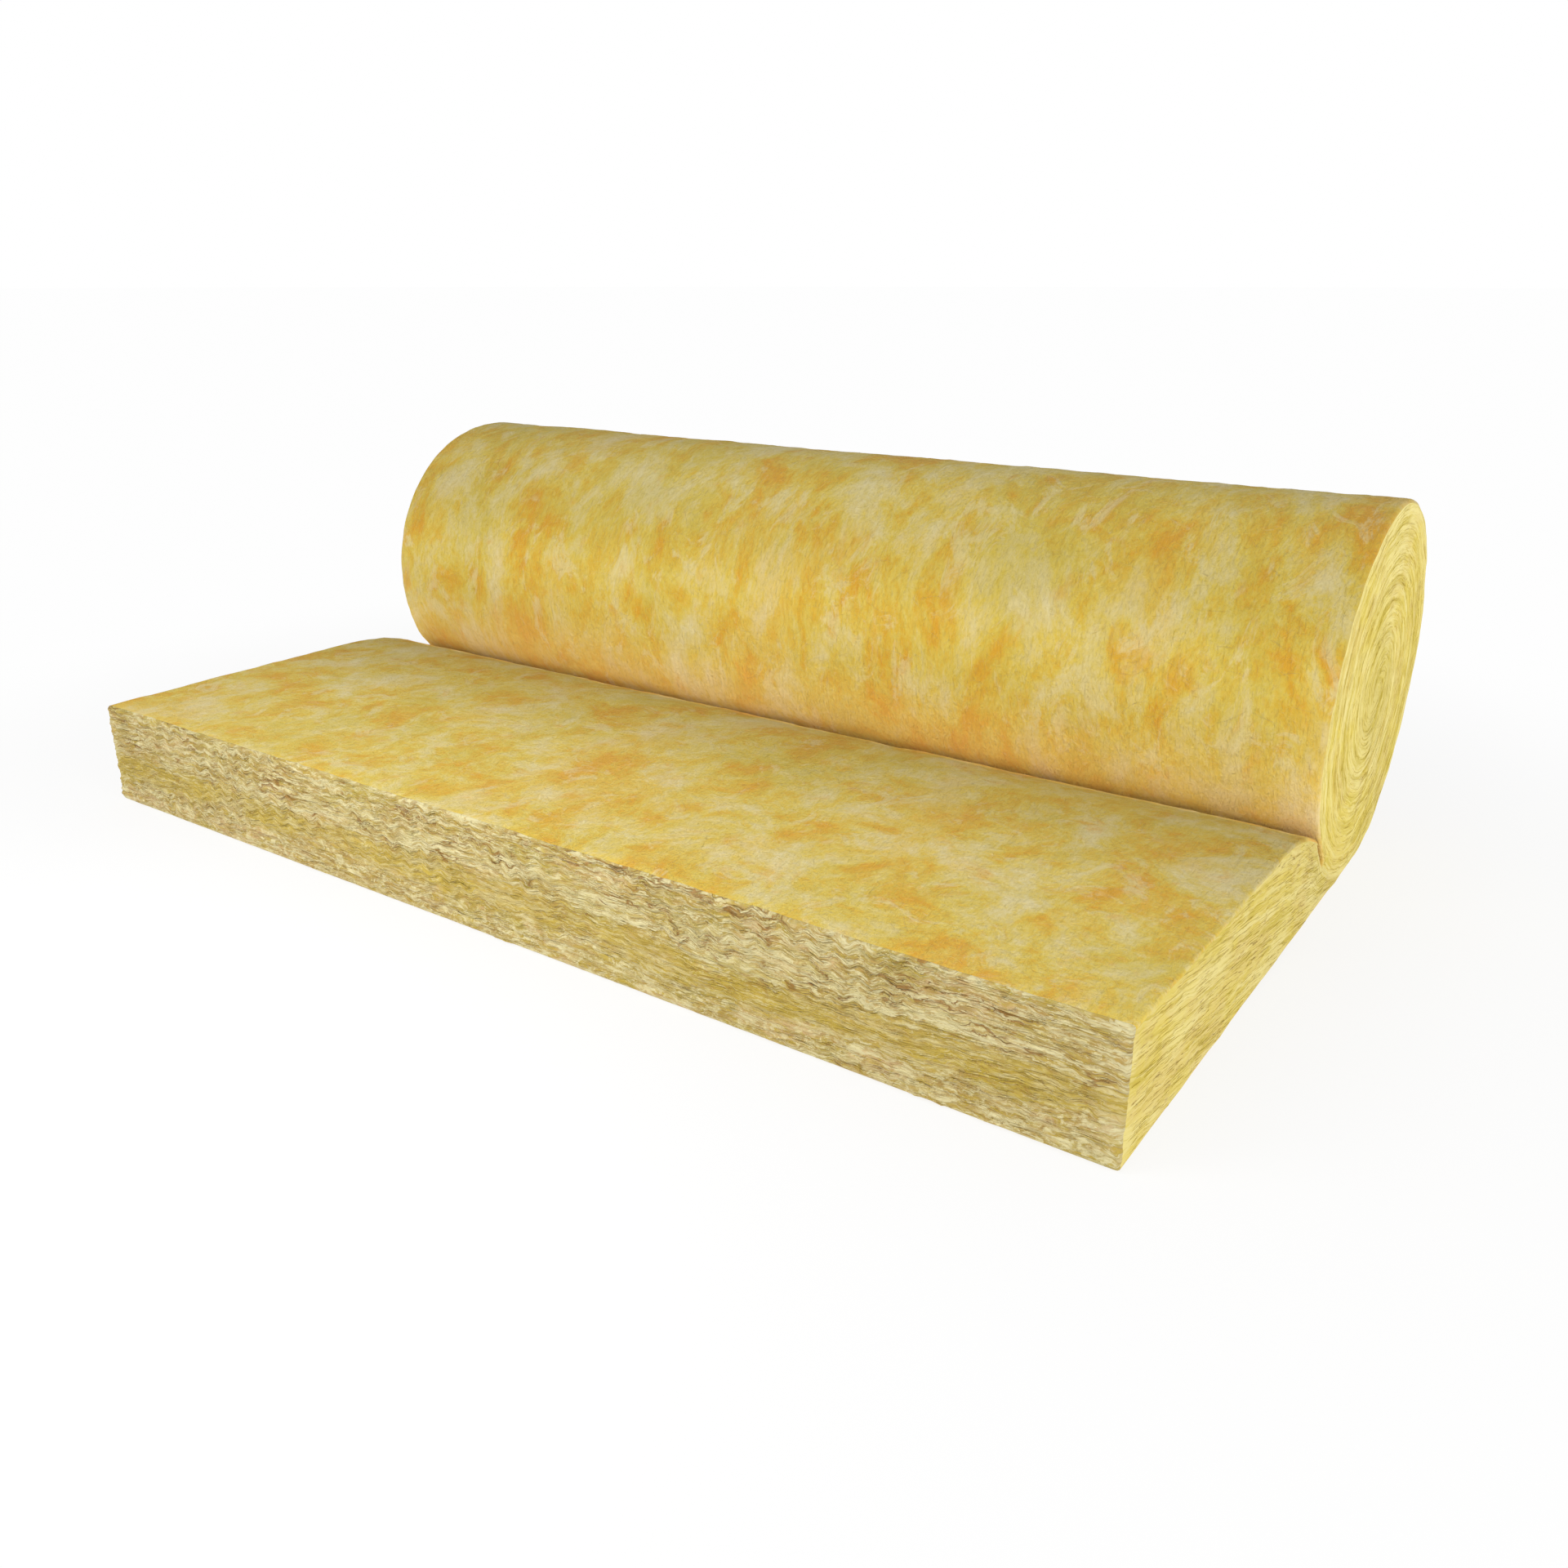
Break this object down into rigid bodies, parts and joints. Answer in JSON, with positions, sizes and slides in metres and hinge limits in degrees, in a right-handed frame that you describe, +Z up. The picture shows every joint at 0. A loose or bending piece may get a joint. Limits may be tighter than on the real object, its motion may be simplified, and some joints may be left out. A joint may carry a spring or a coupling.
{
  "type": "insulation roll",
  "caption": "Soft mineral wool insulation blanket, part unrolled: a wound roll with its square-cut free end lying flat in front of it",
  "frame": {"origin": "on the floor, under the middle of the object's box", "axes": "+X along the blanket's width, which is the roll's length; +Y from the cut end back to the roll; +Z up"},
  "size_m": [1.2, 0.795, 0.368],
  "materials": {
    "glass_wool": "matte matted fibre, mottled warm yellow, paler at the cut faces"
  },
  "bodies": {
    "root": {"wool_blanket": "glass_wool"}
  },
  "joints": []
}
